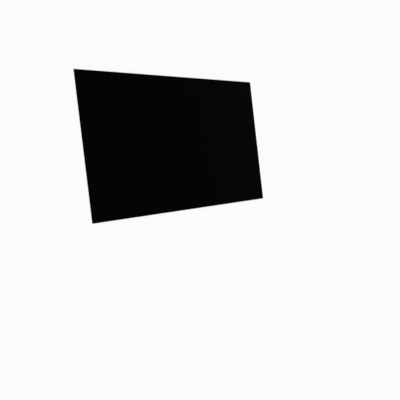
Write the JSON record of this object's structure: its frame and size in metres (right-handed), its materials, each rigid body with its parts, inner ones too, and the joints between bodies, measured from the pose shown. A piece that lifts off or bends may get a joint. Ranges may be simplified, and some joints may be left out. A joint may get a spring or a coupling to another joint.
{
  "type": "laptop privacy filter",
  "caption": "Thin flat rectangular sheet of black louvred film with tight corner radii and eased cut edges, laid over a display so that it reads only from straight ahead.",
  "frame": {"origin": "under the middle of the sheet, on its back face", "axes": "+X along the width, +Y along the height towards the top edge, +Z out of the viewing face"},
  "size_m": [0.331, 0.207, 0.0005],
  "materials": {
    "louvred_film": "black louvred plastic film, matte anti-glare coat on the viewing face and a smoother back face"
  },
  "bodies": {
    "root": {"filter_sheet": "louvred_film"}
  },
  "joints": []
}
